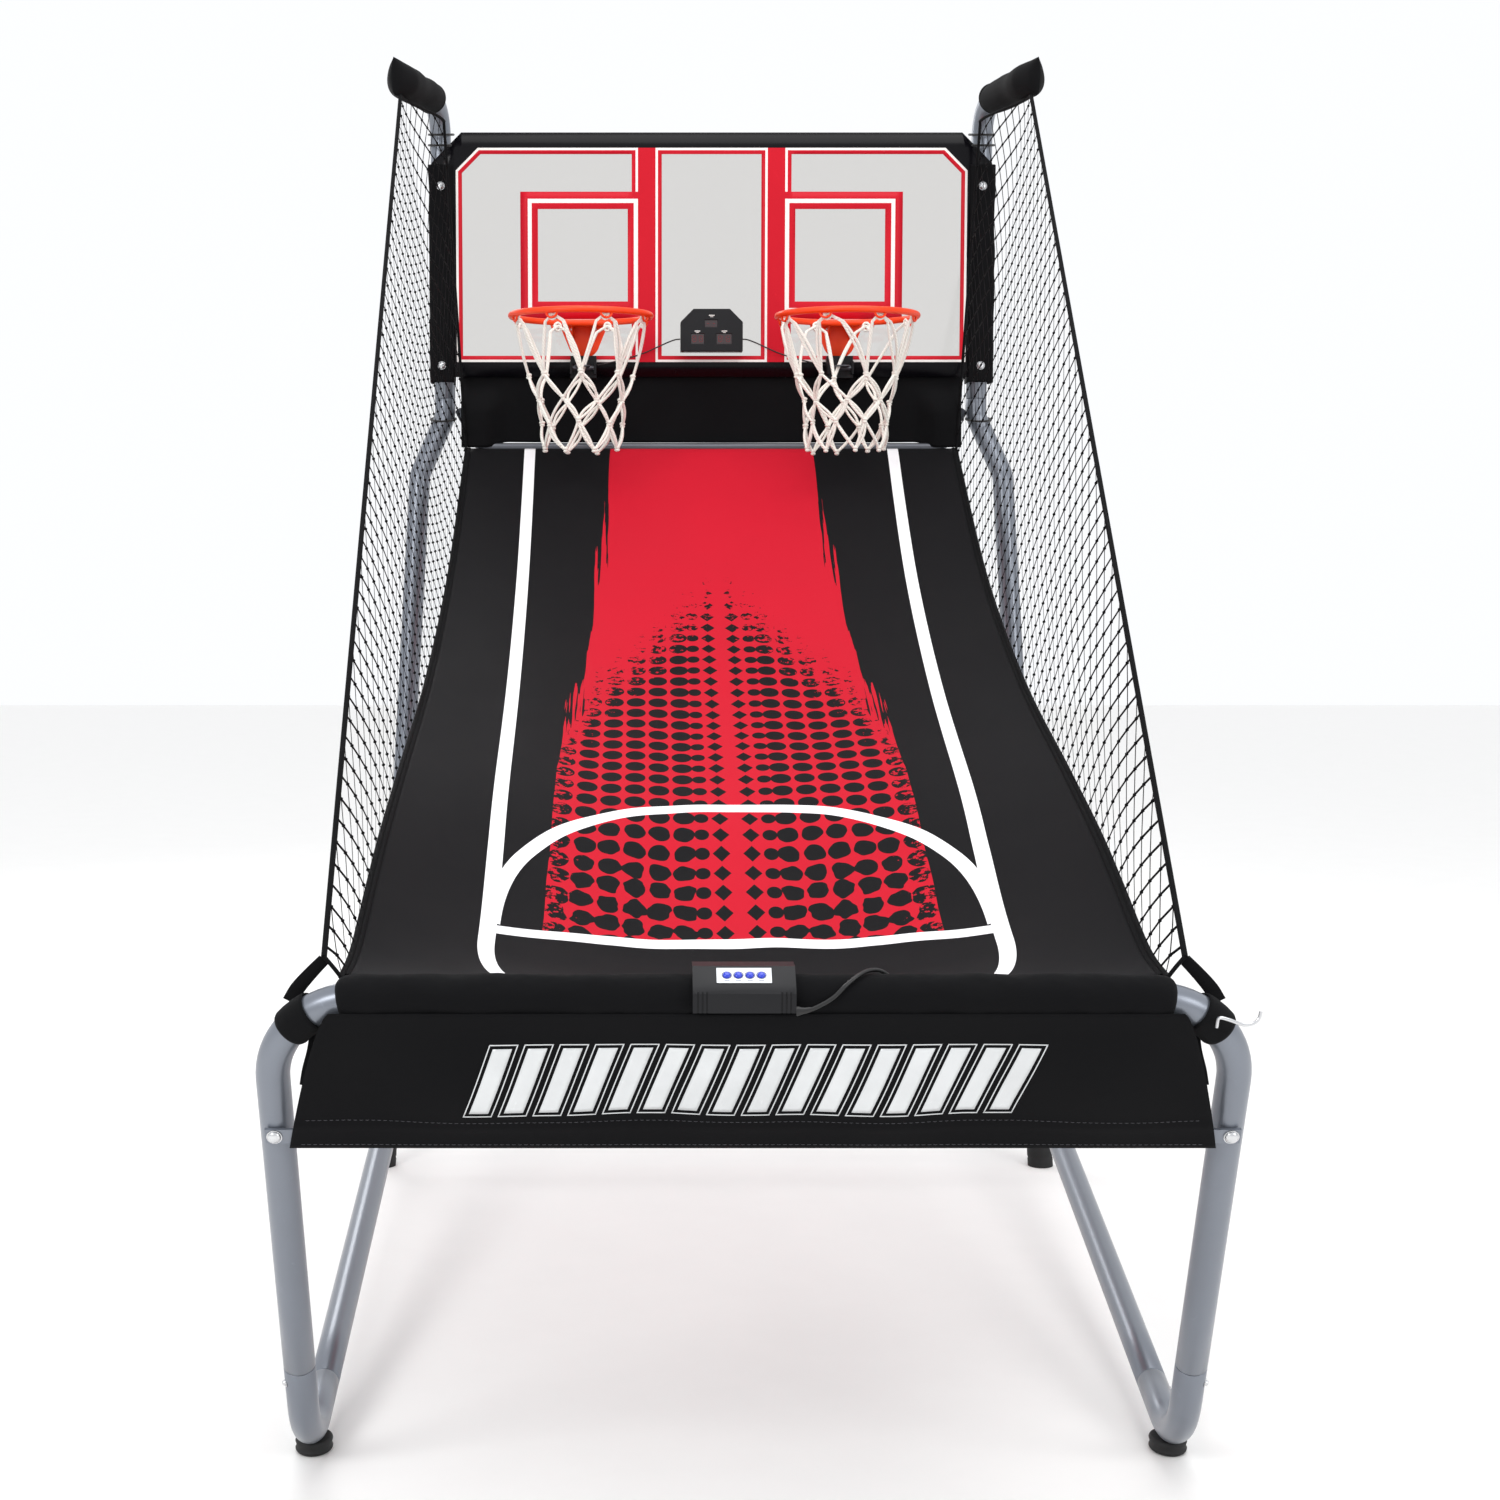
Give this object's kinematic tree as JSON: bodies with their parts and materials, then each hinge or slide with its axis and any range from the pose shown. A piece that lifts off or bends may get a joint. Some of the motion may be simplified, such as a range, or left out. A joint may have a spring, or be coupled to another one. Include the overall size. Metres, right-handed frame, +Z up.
{
  "type": "basketball hoop machine",
  "caption": "Folding two-player basketball hoop machine: tube frame, clear backboard, orange hoops with nets, cloth ramp, side nets, score display.",
  "frame": {"origin": "on the floor, under the middle of the machine", "axes": "+X to the player's right, +Y away from the player, +Z up"},
  "size_m": [1.3086, 2.0577, 2.0626],
  "materials": {
    "frame_paint": "satin silver-grey powder coat",
    "rim_paint": "gloss orange powder coat",
    "zinc_steel": "bright zinc-plated bolts and levers",
    "black_cloth": "black woven polyester with bound edges",
    "ramp_cloth": "black woven polyester with a printed red court",
    "webbing": "black ribbed webbing",
    "black_net": "thin black knotless cord netting",
    "white_net": "white braided cord",
    "clear_board": "clear polycarbonate with a printed red and black court",
    "black_plastic": "fine-grained moulded black",
    "red_lens": "dark red translucent",
    "circuit_board": "green solder mask",
    "button_blue": "domed blue film",
    "label": "white printed film",
    "rubber": "matte black",
    "cable_jacket": "smooth black"
  },
  "bodies": {
    "rear_frame": {"rear_leg_left": "frame_paint", "rear_foot_left": "rubber", "pole_left": "frame_paint", "pole_cover_left": "black_cloth", "pole_hood_left": "black_cloth", "board_bolt_lower_left": "zinc_steel", "board_bolt_upper_left": "zinc_steel", "rim_left": "rim_paint", "hoop_net_left": "white_net", "sensor_housing_left": "black_plastic", "side_net_left": "black_net", "rear_leg_right": "frame_paint", "rear_foot_right": "rubber", "pole_right": "frame_paint", "pole_cover_right": "black_cloth", "pole_hood_right": "black_cloth", "board_bolt_lower_right": "zinc_steel", "board_bolt_upper_right": "zinc_steel", "rim_right": "rim_paint", "hoop_net_right": "white_net", "sensor_housing_right": "black_plastic", "side_net_right": "black_net", "sensor_wire_left": "cable_jacket", "sensor_wire_right": "cable_jacket", "rear_crossbar": "frame_paint", "rear_rail": "frame_paint", "backboard": "clear_board", "back_cloth": "black_cloth", "scorer_front": "black_plastic", "scorer_back": "black_plastic", "scorer_lens": "red_lens", "scorer_circuit_board": "circuit_board", "ramp": "ramp_cloth"},
    "front_frame": {"floor_elbow_left": "frame_paint", "side_rail_left": "frame_paint", "front_foot_left": "rubber", "pivot_bolt_left": "zinc_steel", "apron_bolt_left": "zinc_steel", "net_strap_left": "webbing", "floor_elbow_right": "frame_paint", "side_rail_right": "frame_paint", "front_foot_right": "rubber", "pivot_bolt_right": "zinc_steel", "apron_bolt_right": "zinc_steel", "net_strap_right": "webbing", "front_tube": "frame_paint", "apron_bar": "frame_paint", "apron": "black_cloth", "control_saddle": "black_plastic", "control_cover": "black_plastic", "button_plate": "label", "control_cable": "cable_jacket", "fold_hook": "zinc_steel"},
    "lever_left": {"sensor_lever_left": "zinc_steel"},
    "lever_right": {"sensor_lever_right": "zinc_steel"},
    "button_1": {"button_1": "button_blue"},
    "button_2": {"button_2": "button_blue"},
    "button_3": {"button_3": "button_blue"},
    "button_4": {"button_4": "button_blue"}
  },
  "joints": [
    {"name": "front_fold", "type": "hinge", "parent": "rear_frame", "child": "front_frame", "pos_m": [0, 0.819, 0.3], "axis": [-1, 0, 0], "range_deg": [0, 70], "deforming": ["ramp", "side_net_left", "side_net_right"]},
    {"name": "sensor_left", "type": "hinge", "parent": "rear_frame", "child": "lever_left", "pos_m": [-0.247, 0.919, 1.524], "axis": [1, 0, 0], "range_deg": [0, 20], "stiffness_Nm_per_rad": 0.12, "springref_deg": -22.92},
    {"name": "sensor_right", "type": "hinge", "parent": "rear_frame", "child": "lever_right", "pos_m": [0.247, 0.919, 1.524], "axis": [1, 0, 0], "range_deg": [0, 20], "stiffness_Nm_per_rad": 0.12, "springref_deg": -22.92},
    {"name": "press_1", "type": "slide", "parent": "front_frame", "child": "button_1", "axis": [0, 0.5843, -0.8115], "range_m": [0, 0.0015], "stiffness_N_per_m": 250, "springref_m": -0.001},
    {"name": "press_2", "type": "slide", "parent": "front_frame", "child": "button_2", "axis": [0, 0.5843, -0.8115], "range_m": [0, 0.0015], "stiffness_N_per_m": 250, "springref_m": -0.001},
    {"name": "press_3", "type": "slide", "parent": "front_frame", "child": "button_3", "axis": [0, 0.5843, -0.8115], "range_m": [0, 0.0015], "stiffness_N_per_m": 250, "springref_m": -0.001},
    {"name": "press_4", "type": "slide", "parent": "front_frame", "child": "button_4", "axis": [0, 0.5843, -0.8115], "range_m": [0, 0.0015], "stiffness_N_per_m": 250, "springref_m": -0.001}
  ]
}
